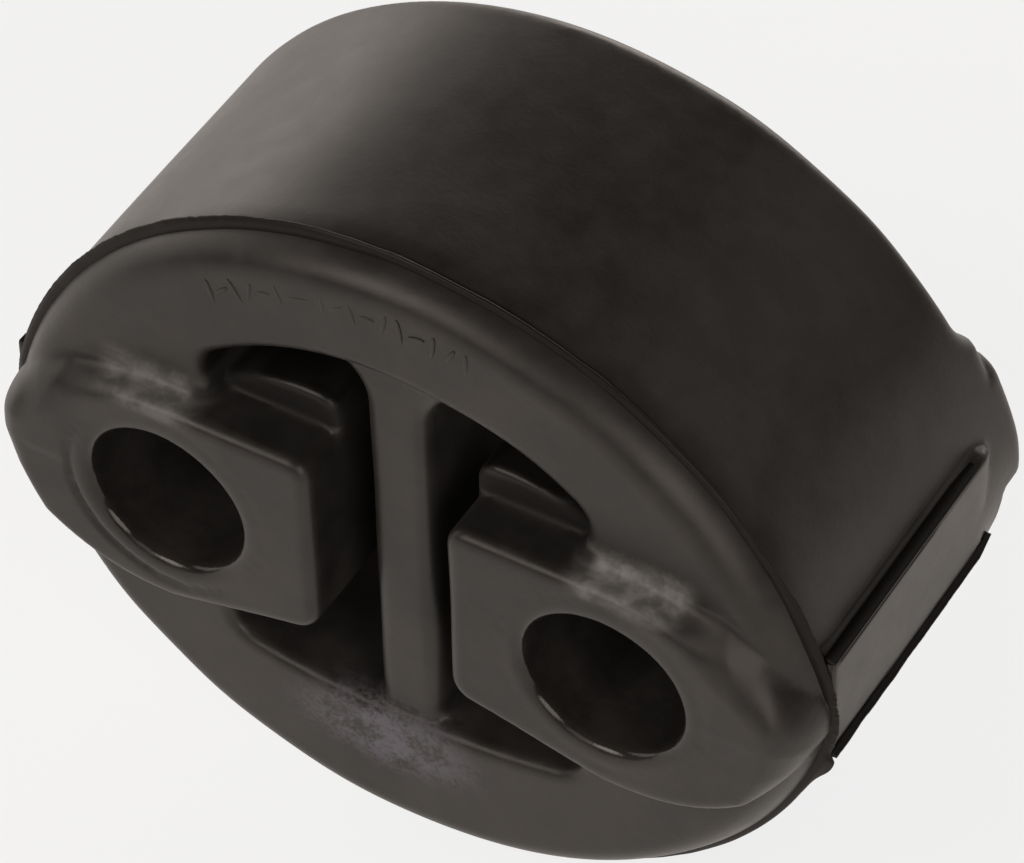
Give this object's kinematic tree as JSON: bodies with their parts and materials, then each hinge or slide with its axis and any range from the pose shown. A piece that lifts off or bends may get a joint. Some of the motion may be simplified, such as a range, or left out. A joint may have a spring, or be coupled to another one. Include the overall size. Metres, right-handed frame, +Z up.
{
  "type": "exhaust hanger rubber",
  "caption": "Oval moulded rubber exhaust hanger: peg holes in blocks at both tips, a rib between the arches, curved gaps around the blocks and thin parting flash.",
  "frame": {"origin": "centre of the bounding box at the bottom of the lower arch", "axes": "+X from the left peg hole to the right one, +Y from the front face with the deeper rounded edge to the back face, +Z up along the middle rib"},
  "size_m": [0.0646, 0.0324, 0.0545],
  "materials": {
    "black_rubber": "dark charcoal moulded rubber, satin with dull patches and a little chalky bloom on the lower arch"
  },
  "bodies": {
    "root": {"rubber_block": "black_rubber"}
  },
  "joints": []
}
